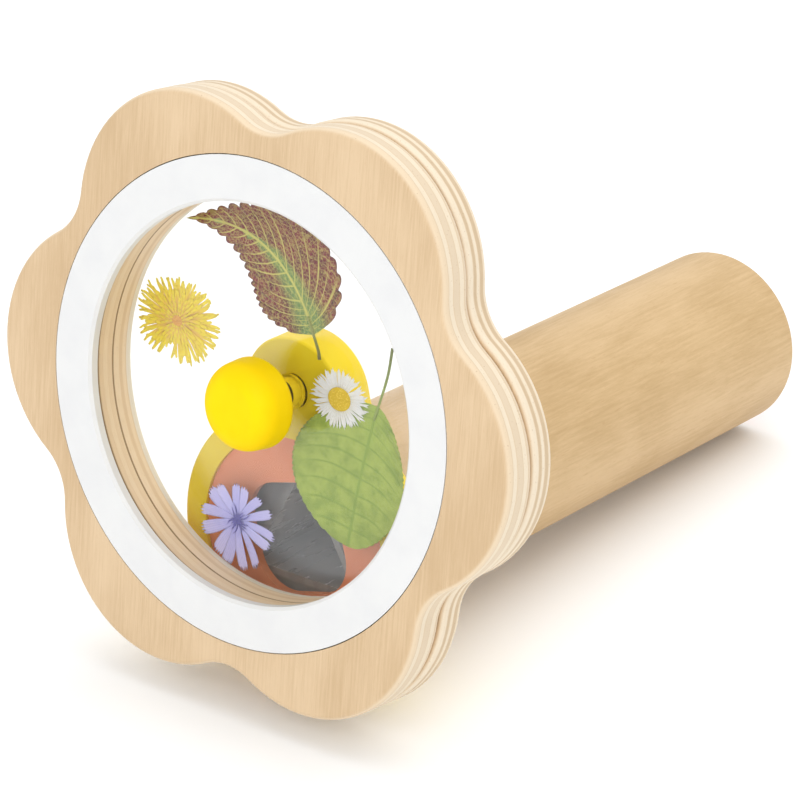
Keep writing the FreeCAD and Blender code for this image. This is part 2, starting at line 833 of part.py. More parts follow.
joint_axis = WHEEL.Rotation.multVec(Vector(0, 0, 1))
tube_axis = TUBE.Rotation.multVec(Vector(0, 0, 1))
print("slope", math.degrees(SLOPE), "lean", math.degrees(LEAN))
print("wheel origin", WHEEL.Base, "forward axis", joint_axis)
print("tube origin", TUBE.Base, "forward axis", tube_axis)
print(len(pieces), "pieces")
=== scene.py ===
"""Looks of the kaleidoscope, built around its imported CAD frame. Metres, +Z up."""
import json
import math
import random

import bmesh
import bpy
from mathutils import Matrix, Vector


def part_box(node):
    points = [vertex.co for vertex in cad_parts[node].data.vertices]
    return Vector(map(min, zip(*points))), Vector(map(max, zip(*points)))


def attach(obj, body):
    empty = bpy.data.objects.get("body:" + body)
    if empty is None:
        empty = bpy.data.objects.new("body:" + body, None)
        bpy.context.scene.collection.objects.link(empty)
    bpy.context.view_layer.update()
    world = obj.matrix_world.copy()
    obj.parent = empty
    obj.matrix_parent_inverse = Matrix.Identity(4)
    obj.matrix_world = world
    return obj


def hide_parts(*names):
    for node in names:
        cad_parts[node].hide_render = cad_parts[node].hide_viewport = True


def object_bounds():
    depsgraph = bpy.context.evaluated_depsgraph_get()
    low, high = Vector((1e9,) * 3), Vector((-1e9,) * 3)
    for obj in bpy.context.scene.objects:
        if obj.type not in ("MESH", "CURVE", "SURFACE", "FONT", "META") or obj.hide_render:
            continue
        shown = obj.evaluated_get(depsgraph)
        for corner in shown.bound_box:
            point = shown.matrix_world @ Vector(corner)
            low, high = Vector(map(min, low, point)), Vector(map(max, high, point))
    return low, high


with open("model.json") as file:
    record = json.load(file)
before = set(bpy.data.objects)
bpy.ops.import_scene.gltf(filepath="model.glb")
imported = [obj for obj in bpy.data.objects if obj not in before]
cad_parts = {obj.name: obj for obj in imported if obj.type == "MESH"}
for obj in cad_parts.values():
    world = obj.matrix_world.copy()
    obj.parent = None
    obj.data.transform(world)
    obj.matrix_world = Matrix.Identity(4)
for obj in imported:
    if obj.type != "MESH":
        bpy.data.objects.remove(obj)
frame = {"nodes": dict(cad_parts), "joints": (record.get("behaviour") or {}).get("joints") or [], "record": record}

CAD_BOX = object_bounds()
NODES = frame["nodes"]
MM = 0.001

# ------------------------------------------------------------------ the two frames
# Millimetre frames of the CAD source: the wheel's has its origin on the axle in the
# wheel's front face, the tube's on the tube axis in the bracket's front face. In both,
# local Z points out of the front and local Y up.

GRIP_DEPTH = 93.7  # from the bracket's front face back to the middle of the bare tube


def local_frame(origin, forward):
    """From a local frame in mm to the world in metres: origin, and local Z along forward."""
    z = Vector(forward).normalized()
    x = Vector((1, 0, 0))
    y = z.cross(x)
    matrix = Matrix((x, y, z)).transposed().to_4x4()
    matrix.translation = origin
    return matrix @ Matrix.Scale(MM, 4)


SPIN = next(j for j in frame["joints"] if j["name"] == "wheel_spin")
GRIP = next(m for m in frame["record"]["mounts"] if m["name"] == "tube_grip")
BACK = Vector(GRIP["axis"]).normalized()
WHEEL = local_frame(SPIN["pos_m"], -Vector(SPIN["axis"]))
TUBE = local_frame(Vector(GRIP["pos_m"]) - BACK * GRIP_DEPTH * MM, -BACK)

# ------------------------------------------------------------------ material builder


class Shader:
    """A node material with one Principled shader, and short names for the nodes it uses."""

    def __init__(self, name, local=WHEEL):
        self.material = bpy.data.materials.new(name)
        self.material.use_nodes = True
        self.tree = self.material.node_tree
        self.tree.nodes.clear()
        self.output = self.add("ShaderNodeOutputMaterial")
        self.surface = self.add("ShaderNodeBsdfPrincipled")
        self.link(self.surface.outputs[0], self.output.inputs["Surface"])
        self.coordinates = self.add("ShaderNodeTexCoord")
        inverse = local.inverted()
        self.place = self.add("ShaderNodeMapping", {
            "Vector": self.coordinates.outputs["Object"],
            "Location": inverse.translation,
            "Rotation": inverse.to_euler(),
            "Scale": (1 / MM, 1 / MM, 1 / MM)}).outputs[0]
        self.forward = local.to_3x3().col[2].normalized()

    def link(self, source, target):
        self.tree.links.new(source, target)

    def add(self, kind, inputs=None, **settings):
        node = self.tree.nodes.new(kind)
        for name, value in settings.items():
            setattr(node, name, value)
        for name, value in (inputs or {}).items():
            if isinstance(value, bpy.types.NodeSocket):
                self.link(value, node.inputs[name])
            else:
                node.inputs[name].default_value = value
        return node

    def shine(self, **values):
        """Sets the Principled shader's own sockets; underscores stand for spaces."""
        for name, value in values.items():
            socket = self.surface.inputs[name.replace("_", " ")]
            if isinstance(value, bpy.types.NodeSocket):
                self.link(value, socket)
            else:
                socket.default_value = value

    def math(self, operation, a, b=0.0, clamp=False):
        return self.add("ShaderNodeMath", {0: a, 1: b}, operation=operation,
                        use_clamp=clamp).outputs[0]

    def mix(self, share, a, b):
        """Mixes two colours, each a socket or an (r, g, b) tuple."""
        node = self.add("ShaderNodeMix", data_type="RGBA")
        for index, value in ((0, share), (6, a), (7, b)):
            if isinstance(value, bpy.types.NodeSocket):
                self.link(value, node.inputs[index])
            else:
                node.inputs[index].default_value = (*value, 1.0) if index else value
        return node.outputs[2]

    def step(self, value, low, high, to_low=0.0, to_high=1.0):
        """A smooth step from to_low at low to to_high at high."""
        return self.add("ShaderNodeMapRange", {"Value": value, "From Min": low, "From Max": high,
                                               "To Min": to_low, "To Max": to_high},
                        interpolation_type="SMOOTHSTEP").outputs[0]

    def stretch(self, scale):
        """The place in the local frame, in mm, times a scale along each axis."""
        return self.add("ShaderNodeVectorMath", {0: self.place, 1: scale},
                        operation="MULTIPLY").outputs[0]

    def radius(self):
        """Distance from the local Z axis, in mm."""
        flat = self.stretch((1, 1, 0))
        return self.add("ShaderNodeVectorMath", {0: flat}, operation="LENGTH").outputs["Value"]

    def noise(self, scale, detail=3.0, roughness=0.5, distortion=0.0, stretch=(1, 1, 1)):
        """Noise from 0 to 1; a small stretch along an axis draws it out along that axis."""
        return self.add("ShaderNodeTexNoise", {
            "Vector": self.stretch(stretch), "Scale": scale, "Detail": detail,
            "Roughness": roughness, "Distortion": distortion}).outputs[0]

    def ramp(self, value, stops):
        """A colour ramp through stops, each (position, (r, g, b))."""
        node = self.add("ShaderNodeValToRGB", {"Fac": value})
        elements = node.color_ramp.elements
        while len(elements) < len(stops):
            elements.new(0.5)
        for element, (position, colour) in zip(elements, stops):
            element.position = position
        for element, (position, colour) in zip(elements, stops):
            element.color = (*colour, 1.0)
        return node.outputs[0]

    def attribute(self, name):
        return self.add("ShaderNodeAttribute", attribute_name=name).outputs["Fac"]

    def axis(self, index):
        """The place along one local axis, in mm."""
        return self.add("ShaderNodeSeparateXYZ", {0: self.place}).outputs[index]

    def facing(self):
        """How squarely the surface faces along the frame's local Z, from 0 to 1."""
        dot = self.add("ShaderNodeVectorMath", {0: self.coordinates.outputs["Normal"],
                                                1: self.forward}, operation="DOT_PRODUCT")
        return self.math("ABSOLUTE", dot.outputs["Value"])

    def bump(self, height, depth_mm, strength=1.0):
        """Relief: height from 0 to 1 stands for depth_mm."""
        node = self.add("ShaderNodeBump", {"Height": height, "Strength": strength,
                                           "Distance": depth_mm * MM})
        self.link(node.outputs[0], self.surface.inputs["Normal"])


def srgb(red, green, blue):
    """Linear colour from 0-255 display values."""
    return tuple(c / 12.92 if c <= 0.04045 else ((c + 0.055) / 1.055) ** 2.4
                 for c in (red / 255, green / 255, blue / 255))


# ------------------------------------------------------------------------- materials

FACE_LIGHT, FACE_DARK = srgb(217, 190, 154), srgb(198, 169, 131)
EDGE_LIGHT, EDGE_CROSS = srgb(228, 213, 189), srgb(217, 198, 171)
OUTER_PLY, REAR_CROSS = srgb(223, 202, 172), srgb(199, 175, 143)
# The dark seam colour is also used as painted shade under the ring, on the wall round the window
GLUE_LINE, SEAM_AND_SHADE = srgb(210, 186, 152), srgb(122, 94, 62)

# Plies from the front face back, in mm: where each one ends, and its colour
FRONT_PLIES = [(1.9, OUTER_PLY), (3.5, EDGE_LIGHT), (5.6, EDGE_CROSS), (7.3, EDGE_LIGHT),
               (8.95, EDGE_CROSS)]
REAR_PLIES = [(11.2, EDGE_LIGHT), (12.2, REAR_CROSS), (13.4, EDGE_LIGHT), (14.6, REAR_CROSS),
              (16.27, EDGE_LIGHT)]
PLATES_MEET = FRONT_PLIES[-1][0]
SEAM_HALF, GLUE_HALF = 0.34, 0.2  # half thicknesses of the dark seam and of a glue line
WHEEL_DEPTH = 20.0
RING_DEPTH, WINDOW_DEPTH, INNER_WALL = 2.6, 13.4, 49.0  # the last is a radius


def ply_stops():
    """Colour along the depth: plies with a glue line between them, and a seam where the plates
    meet."""
    stops = []
    start = 0.0
    for end, colour in FRONT_PLIES + REAR_PLIES:
        line, half = (SEAM_AND_SHADE, SEAM_HALF) if end == PLATES_MEET else (GLUE_LINE, GLUE_HALF)
        stops += [((start + GLUE_HALF) / WHEEL_DEPTH, colour), ((end - half) / WHEEL_DEPTH, colour),
                  (end / WHEEL_DEPTH, line)]
        start = end
    return stops


def plywood():
    """Flower plates: grain on the faces, plies on the edges, and the wall round the window, with
    painted shade under the ring and a painted glint where the window's edge lies against it."""
    s = Shader("plywood")
    grain = s.noise(1.0, 5.0, 0.62, 0.3, stretch=(1.9, 0.06, 0.3))
    fine = s.noise(1.0, 4.0, 0.7, 0.0, stretch=(6.0, 0.30, 1.0))
    cloud = s.noise(0.045, 2.0, 0.5, 0.6, stretch=(1.0, 0.5, 1.0))
    share = s.math("ADD", s.math("MULTIPLY", grain, 0.42), s.math("MULTIPLY", fine, 0.20))
    share = s.math("ADD", share, s.math("MULTIPLY", cloud, 0.55))
    face = s.mix(s.step(share, 0.42, 0.76), FACE_LIGHT, FACE_DARK)
    fleck = s.noise(1.0, 2.0, 0.5, 0.0, stretch=(3.4, 0.55, 1.0))
    face = s.mix(s.step(fleck, 0.64, 0.76, 0.0, 0.30), face, srgb(198, 162, 120))
    wave = s.noise(0.12, 2.0, 0.5)
    depth = s.math("SUBTRACT", s.math("MULTIPLY", wave, 0.4), s.math("ADD", s.axis(2), 0.2))
    edge = s.ramp(s.math("DIVIDE", depth, WHEEL_DEPTH), ply_stops())
    streak = s.noise(1.0, 3.0, 0.6, stretch=(0.35, 0.35, 5.0))
    edge = s.mix(s.step(streak, 0.4, 0.7, 0.0, 0.30), edge, srgb(216, 195, 164))
    pores = s.noise(2.6, 1.0, 0.5)
    edge = s.mix(s.step(pores, 0.69, 0.76, 0.0, 0.45), edge, srgb(168, 134, 96))
    inside = s.step(s.radius(), INNER_WALL, INNER_WALL - 0.5)
    behind = s.math("MULTIPLY", s.axis(2), -1.0)
    # The wall round the window: paler, dark at the seam, with painted shade under the ring's lip, and a
    # painted pale glint where the front window's edge lies against it
    wall = s.mix(0.55, edge, s.mix(streak, srgb(242, 218, 186), srgb(218, 190, 150)))
    from_seam = s.math("ABSOLUTE", s.math("SUBTRACT", behind, PLATES_MEET + 0.05))
    wall = s.mix(s.math("MULTIPLY", s.step(from_seam, SEAM_HALF, 0.16), 0.8), wall, SEAM_AND_SHADE)
    # painted glint: the wall is paled where the front window's edge lies against it
    window_edge_glint = s.step(behind, WINDOW_DEPTH + 0.1, WINDOW_DEPTH + 0.3, 0.0, 0.75)
    wall = s.mix(window_edge_glint, wall, srgb(232, 228, 216))
    # painted shadow: the wall is darkened under the ring's lip
    ring_shadow = s.step(behind, RING_DEPTH + 1.9, RING_DEPTH + 1.3)
    wall = s.mix(s.math("MULTIPLY", ring_shadow, 0.85), wall, SEAM_AND_SHADE)
    edge = s.mix(inside, edge, wall)
    flat = s.step(s.facing(), 0.55, 0.98)
    colour = s.mix(flat, edge, face)
    s.shine(Base_Color=colour, Roughness=s.step(share, 0.3, 0.8, 0.42, 0.56),
            Specular_IOR_Level=0.3)
    s.bump(s.math("ADD", s.math("MULTIPLY", fine, 0.6), s.math("MULTIPLY", pores, 0.4)), 0.06, 0.5)
    return s.material


def turned_wood():
    """Pale beech-like wood turned to a tube, its grain along the axis."""
    s = Shader("turned_wood", TUBE)
    bend = s.noise(0.02, 2.0, 0.5, stretch=(1, 1, 0.35))
    x, y = s.axis(0), s.axis(1)
    rings = s.math("ADD", s.math("MULTIPLY", x, 0.33), s.math("MULTIPLY", y, 0.21))
    rings = s.math("ADD", rings, s.math("MULTIPLY", bend, 9.0))
    rings = s.math("ADD", s.math("MULTIPLY", s.math("SINE", rings), 0.5), 0.5)
    grain = s.noise(1.0, 5.0, 0.62, 0.2, stretch=(1.2, 1.2, 0.08))
    fine = s.noise(1.0, 4.0, 0.7, 0.0, stretch=(5.0, 5.0, 0.5))
    cloud = s.noise(0.04, 3.0, 0.55, 0.5, stretch=(1, 1, 0.6))
    share = s.math("ADD", s.math("MULTIPLY", grain, 0.38), s.math("MULTIPLY", fine, 0.22))
    share = s.math("ADD", share, s.math("MULTIPLY", rings, 0.10))
    share = s.math("ADD", share, s.math("MULTIPLY", cloud, 0.45))
    colour = s.mix(s.step(share, 0.42, 0.78), srgb(211, 180, 135), srgb(189, 157, 110))
    fleck = s.noise(1.0, 1.5, 0.5, 0.0, stretch=(2.6, 2.6, 0.34))
    colour = s.mix(s.step(fleck, 0.63, 0.75, 0.0, 0.45), colour, srgb(188, 150, 104))
    end = s.step(s.facing(), 0.7, 0.95)
    end_grain = s.mix(s.noise(1.4, 3.0, 0.7), srgb(206, 172, 130), srgb(176, 138, 98))
    colour = s.mix(end, colour, end_grain)
    s.shine(Base_Color=colour, Roughness=s.step(share, 0.3, 0.8, 0.40, 0.55),
            Specular_IOR_Level=0.35)
    s.bump(fine, 0.06, 0.5)
    return s.material


def dowel_wood():
    s = Shader("dowel_wood")
    grain = s.noise(1.0, 4.0, 0.6, stretch=(1.5, 1.5, 0.1))
    s.shine(Base_Color=s.mix(grain, srgb(222, 192, 150), srgb(186, 150, 106)), Roughness=0.6)
    s.bump(grain, 0.05)
    return s.material


def moulded(name, light, dark, roughness, grain_mm=0.35, local=WHEEL, depth=0.012, specular=0.28):
    """Moulded or painted surface: faint mottle, fine texture and uneven gloss."""
    s = Shader(name, local)
    mottle = s.noise(0.09, 3.0, 0.55)
    texture = s.noise(1.0 / grain_mm, 3.0, 0.6)
    s.shine(Base_Color=s.mix(s.step(mottle, 0.35, 0.7), light, dark),
            Roughness=s.step(s.noise(0.25, 2.0, 0.5), 0.3, 0.7, roughness - 0.04, roughness + 0.06),
            Specular_IOR_Level=specular)
    s.bump(texture, depth)
    return s.material


CLEAR_HEAD_ON, CLEAR_AT_A_GLANCE = 0.022, 0.55  # mirror shares of a clear sheet


def clear_sheet():
    """Polished clear acrylic: a small mirror share, growing at a glance, over clear."""
    s = Shader("clear_acrylic")
    s.tree.nodes.remove(s.surface)
    clear = s.add("ShaderNodeBsdfTransparent", {"Color": (0.998, 0.999, 0.999, 1.0)})
    wear = s.step(s.noise(0.06, 3.0, 0.6), 0.35, 0.75, 0.015, 0.05)
    mirror = s.add("ShaderNodeBsdfGlossy", {"Color": (1, 1, 1, 1), "Roughness": wear})
    slant = s.add("ShaderNodeLayerWeight", {"Blend": 0.5}).outputs["Facing"]
    glance = s.math("MULTIPLY", s.math("POWER", slant, 4.0), CLEAR_AT_A_GLANCE)
    share = s.math("ADD", CLEAR_HEAD_ON, glance)
    share = s.math("MULTIPLY", share, s.step(s.facing(), 0.3, 0.7, 0.25, 1.0))
    both = s.add("ShaderNodeMixShader", {0: share, 1: clear.outputs[0], 2: mirror.outputs[0]})
    s.link(both.outputs[0], s.output.inputs["Surface"])
    return s.material


def mirror_strip():
    """Silvered plastic strip, hazy and partly diffuse, with dull grey ends and slow waves that
    fade out near the strips' outer corners."""
    s = Shader("mirror_strip", TUBE)
    haze = s.noise(0.2, 4.0, 0.6, stretch=(1, 1, 0.2))
    corner = s.step(s.radius(), 18.0, 18.4)
    end = s.step(s.facing(), 0.6, 0.9)
    silver = s.mix(haze, (0.80, 0.80, 0.80), (0.68, 0.68, 0.69))
    s.shine(Base_Color=s.mix(end, silver, srgb(150, 150, 149)),
            Metallic=s.step(end, 0.0, 1.0, 0.4, 0.0),
            Roughness=s.step(haze, 0.3, 0.8, 0.22, 0.38))
    waves = s.noise(0.035, 2.0, 0.5)
    s.bump(s.math("MULTIPLY", waves, s.math("SUBTRACT", 1.0, corner)), 0.25, 0.5)
    return s.material


def metal(name, light, dark, roughness):
    """Turned metal with fine uneven gloss."""
    s = Shader(name)
    turn = s.noise(0.9, 4.0, 0.7, stretch=(1, 1, 6))
    s.shine(Base_Color=s.mix(turn, light, dark), Metallic=1.0,
            Roughness=s.step(turn, 0.3, 0.7, roughness - 0.08, roughness + 0.1))
    s.bump(turn, 0.02, 0.5)
    return s.material


def petal(name, stops, vein, shade):
    """Pressed petal: colour from base to tip, lengthwise veins and uneven tone."""
    s = Shader(name)
    along, tone = s.attribute("along"), s.attribute("tone")
    colour = s.ramp(along, stops)
    rib = s.attribute("rib")
    lines = s.math("ABSOLUTE", s.math("SINE", s.math("MULTIPLY", rib, 3.0 * math.pi)))
    colour = s.mix(s.step(lines, 0.45, 0.0, 0.0, 0.5), colour, vein)
    colour = s.mix(s.math("MULTIPLY", tone, shade), colour, vein)
    speck = s.noise(1.6, 3.0, 0.6)
    colour = s.mix(s.step(speck, 0.5, 0.8, 0.0, 0.25), colour, vein)
    s.shine(Base_Color=colour, Roughness=0.7, Specular_IOR_Level=0.2, Sheen_Weight=0.15)
    s.bump(s.math("ADD", lines, s.math("MULTIPLY", speck, 0.6)), 0.04)
    return s.material


def leaf(name, blade, blade_dark, heart, vein, heart_reach, net_share, line_share, rim=None):
    """Pressed leaf: blade colours, a heart reaching heart_reach mm from the midrib at the base,
    side veins from the mesh's phase, and a net of fine veins between them."""
    s = Shader(name)
    phase, across, rib, along = (s.attribute(n) for n in ("phase", "across", "rib", "along"))
    patch = s.noise(0.35, 4.0, 0.6)
    colour = s.mix(s.step(patch, 0.35, 0.7), blade, blade_dark)
    grain = s.noise(1.8, 3.0, 0.6)
    colour = s.mix(s.step(grain, 0.45, 0.75, 0.0, 0.35), colour, blade_dark)
    middle = s.math("ADD", rib, s.math("MULTIPLY", s.math("SUBTRACT", patch, 0.5), 5.0))
    reach = s.step(along, 0.0, 0.75, heart_reach, 0.3)
    near = s.math("SUBTRACT", 1.0, s.math("DIVIDE", middle, reach), clamp=True)
    colour = s.mix(s.step(near, 0.05, 0.75), colour, heart)
    between = s.math("FLOOR", phase)
    rungs = s.math("ADD", s.math("MULTIPLY", rib, 0.62), s.math("MULTIPLY", between, 0.37))
    rungs = s.math("ADD", rungs, s.math("MULTIPLY", s.noise(0.9, 2.0, 0.5), 1.5))
    rungs = s.math("ABSOLUTE", s.math("SUBTRACT", s.math("FRACT", rungs), 0.5))
    net = s.add("ShaderNodeTexVoronoi", {"Vector": s.place, "Scale": 1.05},
                feature="DISTANCE_TO_EDGE").outputs["Distance"]
    fine = s.math("MAXIMUM", s.step(rungs, 0.145, 0.045), s.step(net, 0.10, 0.01, 0.0, 0.8))
    ridge = s.math("ABSOLUTE", s.math("SUBTRACT", s.math("FRACT", phase), 0.5))
    vein_half = s.math("ADD", 0.06, s.math("MULTIPLY", s.noise(0.6, 2.0, 0.5), 0.08))
    side = s.step(ridge, vein_half, 0.02)
    taper = s.step(across, 0.6, 1.0, 1.0, 0.25)
    spine = s.step(rib, 0.60, 0.2)
    lines = s.math("MAXIMUM", s.math("MULTIPLY", side, taper), spine)
    colour = s.mix(s.math("MULTIPLY", fine, net_share), colour, vein)
    colour = s.mix(s.math("MULTIPLY", lines, line_share), colour, vein)
    if rim:
        colour = s.mix(s.step(across, 0.93, 1.0, 0.0, 0.7), colour, rim)
    s.shine(Base_Color=colour, Roughness=0.62, Specular_IOR_Level=0.25, Sheen_Weight=0.1)
    s.bump(s.math("ADD", s.math("MULTIPLY", fine, 0.4), lines), 0.04)
    return s.material


def florets(name, light, dark):
    """Crowded little disc florets, each lighter in its middle, with painted shade darkening it towards the
    crevices between the florets.
    """
    s = Shader(name)
    cells = s.add("ShaderNodeTexVoronoi", {"Vector": s.place, "Scale": 2.4}).outputs["Distance"]
    tone = s.noise(1.1, 3.0, 0.6)
    # painted shade in the crevices between the florets
    colour = s.mix(s.step(cells, 0.1, 0.6), light, dark)
    s.shine(Base_Color=s.mix(s.step(tone, 0.4, 0.8, 0.0, 0.5), colour, dark), Roughness=0.8)
    s.bump(s.step(cells, 0.7, 0.0), 0.12)
    return s.material


PLYWOOD = plywood()
TURNED_WOOD = turned_wood()
KNOB_PAINT = moulded("knob_paint", srgb(247, 212, 0), srgb(244, 206, 0), 0.55, depth=0.008,
                     specular=0.1)
# The bracket's yellow is the knob's lacquer painted lighter and paler: painted light making up for the shade it
# sits in behind the windows, and a painted haze of the windows' reflections
BRACKET_PAINT_LIT = moulded("bracket_paint_lit", srgb(255, 226, 52), srgb(253, 220, 42), 0.55, depth=0.008,
                        specular=0.2)
# The mask disc's salmon is painted brighter and redder than the eyepiece disc's, which is the same board: painted
# light making up for the shade it sits in behind the windows
SALMON_BOARD_LIT = moulded("salmon_board", srgb(250, 160, 118), srgb(246, 152, 108), 0.5, grain_mm=0.8,
                       local=TUBE, depth=0.004)
# The spacer sleeve is painted shade: the yellow paint darkened to olive, as it looks in the narrow gap behind the
# knob
SLEEVE_SHADED_YELLOW = moulded("dark_plastic", srgb(96, 82, 44), srgb(74, 62, 34), 0.5)
MATERIALS = {
    "front_plate": PLYWOOD,
    "rear_plate": PLYWOOD,
    "locating_dowels": dowel_wood(),
    "white_ring": moulded("white_satin", srgb(223, 223, 222), srgb(219, 219, 219), 0.38,
                          depth=0.01),
    "tube": TURNED_WOOD,
    "knob": KNOB_PAINT,
    "bracket": BRACKET_PAINT_LIT,
    "mask_disc": SALMON_BOARD_LIT,
    "eyepiece_disc": moulded("eyepiece_board", srgb(228, 158, 128), srgb(222, 150, 120), 0.5,
                             grain_mm=0.8, local=TUBE, depth=0.004),
    "eyepiece_spacer": moulded("black_card", srgb(46, 46, 48), srgb(34, 34, 36), 0.8, local=TUBE),
    "centre_bush": BRACKET_PAINT_LIT,
    "spacer_sleeve": SLEEVE_SHADED_YELLOW,
    "knob_insert": metal("brass", srgb(214, 178, 106), srgb(186, 148, 80), 0.3),
}
CLEAR, MIRROR = clear_sheet(), mirror_strip()
STEEL = metal("zinc_steel", srgb(206, 208, 212), srgb(172, 175, 180), 0.32)
PACKING = moulded("grey_packing", srgb(158, 158, 158), srgb(146, 146, 146), 0.7, grain_mm=2.5,
                  local=TUBE, depth=0.05)
for names, material in ((("front_window", "rear_window", "eyepiece_window"), CLEAR),
                        (("mirror_1", "mirror_2", "mirror_3"), MIRROR),
                        (("axle_bolt", "axle_nut", "axle_washer"), STEEL),
                        (("packing_1", "packing_2", "packing_3"), PACKING)):
    for name in names:
        MATERIALS[name] = material

for name, material in MATERIALS.items():
    data = NODES[name].data
    data.materials.clear()
    data.materials.append(material)

# --------------------------------------------------------------------- pressed plants
# Each is built in the wheel frame, in mm, between the windows. Depths are measured back
# from the wheel's front face.

GAP_FRONT, GAP_BACK = 14.62, 15.13  # the plants stay between these depths
PLANT_REACH = 47.2  # and within this distance of the axle


def between_windows(depth):
    return min(max(depth, GAP_FRONT), GAP_BACK)


def lies(name):
    """Middle (x, y) and half breadth of a plant's CAD node, in the wheel frame."""
    low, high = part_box(name)
    middle = WHEEL.inverted() @ ((low + high) / 2)
    return Vector((middle.x, middle.y, 0)), (high.x - low.x) / 2 / MM


class Rib:
    """A leaf's midrib, bowed from base to tip, with half widths to its left and right. The
    blade's half width is sin(pi t^early)^full of that: early below 1 is broad near the base."""

    def __init__(self, base, bow, tip, left, right, early, full):
        self.ends, self.half, self.early, self.full = (base, bow, tip), (left, right), early, full

    def at(self, t):
        t = min(max(t, 0.0), 1.0)
        base, bow, tip = self.ends
        return base * (1 - t) ** 2 + bow * 2 * t * (1 - t) + tip * t * t

    def margin(self, t, side):
        """The margin beside t; side 0 is the left and 1 the right, seen from base to tip."""
        t = min(max(t, 0.0), 1.0)
        base, bow, tip = self.ends
        along = ((bow - base) * (1 - t) + (tip - bow) * t).normalized()
        out = Vector((-along.y, along.x, 0)) * (1 - 2 * side)
        swell = math.sin(math.pi * t ** self.early)
        return self.at(t) + out * self.half[side] * max(swell, 0.0) ** self.full


def spline(points, t):
    """A Catmull-Rom point at t from 0 to 1 through evenly counted points."""
    count = len(points) - 1
    position = min(max(t, 0.0), 1.0) * count
    i = min(int(position), count - 1)
    s = position - i
    p1, p2 = points[i], points[i + 1]
    p0 = points[i - 1] if i > 0 else p1 * 2 - p2
    p3 = points[i + 2] if i + 2 <= count else p2 * 2 - p1
    return 0.5 * ((2 * p1) + (p2 - p0) * s + (2 * p0 - 5 * p1 + 4 * p2 - p3) * s * s
                  + (3 * p1 - p0 - 3 * p2 + p3) * s ** 3)


class Sheet:
    """Collects grids of vertices with their attributes, and makes one thin piece of them."""

    def __init__(self, name):
        self.name = name
        self.mesh = bmesh.new()
        self.values = []

    def grid(self, rows, material=0):
        """rows of (x, y, depth, {attribute: value}); neighbouring rows are joined."""
        made = []
        for row in rows:
            line = []
            for x, y, depth, values in row:
                line.append(self.mesh.verts.new(WHEEL @ Vector((x, y, -depth))))
                self.values.append(values)
            made.append(line)
        for first, second in zip(made, made[1:]):
            for i in range(len(first) - 1):
                corners = (first[i], first[i + 1], second[i + 1], second[i])
                face = self.mesh.faces.new(corners)
                face.material_index = material
                face.smooth = True

    def finish(self, materials, body, node, thickness=0.05):
        bmesh.ops.recalc_face_normals(self.mesh, faces=self.mesh.faces)
        data = bpy.data.meshes.new(self.name)
        self.mesh.to_mesh(data)
        self.mesh.free()
        for key in sorted({k for values in self.values for k in values}):
            attribute = data.attributes.new(key, "FLOAT", "POINT")
            attribute.data.foreach_set("value", [values.get(key, 0.0) for values in self.values])
        for material in materials:
            data.materials.append(material)
        piece = bpy.data.objects.new(self.name, data)
        bpy.context.scene.collection.objects.link(piece)
        solid = piece.modifiers.new("thickness", "SOLIDIFY")
        solid.thickness = thickness * MM
        solid.offset = 0.0
        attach(piece, body)
        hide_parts(node)


def add_strip(sheet, start, direction, length, width, depth, tone, teeth=0, tooth=0.0, bend=0.0,
              rise=0.0, cup=0.05, material=0, steps=9, limit=None, narrow=0.45):
    """A strap-shaped petal from start, narrow at its base and blunt or toothed at its tip. A
    tooth is a share of the length, and a limit is the furthest reach from the axle."""
    round_from = 0.86  # share of the length where the tip starts to round off
    rows = []
    for i in range(steps + 1):
        t = i / steps
        angle = direction + bend * t * t
        reach = length * t
        x = start[0] + reach * math.cos(angle)
        y = start[1] + reach * math.sin(angle)
        swell = narrow + (1 - narrow) * math.sin(min(t * 1.25, 1.0) * math.pi / 2)
        round_off = 1.0
        if t > round_from:
            round_off = math.sqrt(max(0.0, 1 - ((t - round_from) / (1 - round_from)) ** 2))
        if teeth:
            round_off = max(round_off, 0.84)
        half = width / 2 * swell * max(round_off, 0.12)
        row = []
        columns = 2 * teeth if teeth else 4
        for j in range(columns + 1):
            side = 2 * j / columns - 1
            notch = 0.0
            if teeth and i == steps:
                notch = -tooth * length if j % 2 == 0 else 0.0
                notch -= 0.04 * length * side * side
            px = x + notch * math.cos(angle) - half * side * math.sin(angle)
            py = y + notch * math.sin(angle) + half * side * math.cos(angle)
            if limit:
                reach_out = math.hypot(px, py)
                if reach_out > limit:
                    px, py = px * limit / reach_out, py * limit / reach_out
            z = depth - rise * t + cup * (1 - abs(math.sin(side * math.pi)))
            row.append((px, py, between_windows(z), {"along": t, "rib": side, "tone": tone}))
        rows.append(row)
    sheet.grid(rows, material)


def add_dome(sheet, centre, radii, depth, height, rings, around, lumps, seed, material=1):
    """A low dome of disc florets, with lumps of up to lumps mm."""
    rng = random.Random(seed)
    rows = []
    for i in range(rings + 1):
        t = i / rings
        bumps = [lumps * rng.uniform(-1, 1) if 0 < i < rings else 0.0 for _ in range(around)]
        row = []
        for j in range(around + 1):
            angle = 2 * math.pi * j / around
            z = depth - height * (1 - t ** 3) + bumps[j % around]
            row.append((centre[0] + radii[0] * max(t, 0.02) * math.cos(angle),
                        centre[1] + radii[1] * max(t, 0.02) * math.sin(angle),
                        between_windows(z), {}))
        rows.append(row)
    sheet.grid(rows, material)


def add_stem(sheet, points, widths, depth, steps=14, columns=6, thickness=0.12, material=1):
    """A flattened stem along points, with a width at each end."""
    rows = []
    for i in range(steps + 1):
        t = i / steps
        p = spline(points, t)
        ahead = spline(points, min(t + 0.02, 1.0)) - spline(points, max(t - 0.02, 0.0))
        ahead.normalize()
        half = (widths[0] + (widths[1] - widths[0]) * t) / 2
        row = []
        for j in range(columns + 1):
            side = 2 * j / columns - 1
            px, py = p.x - half * side * ahead.y, p.y + half * side * ahead.x
            z = depth - thickness * math.sqrt(max(0.0, 1 - side * side))
            row.append((px, py, between_windows(z), {"along": t, "rib": side, "tone": 0.5}))
        rows.append(row)
    sheet.grid(rows, material)


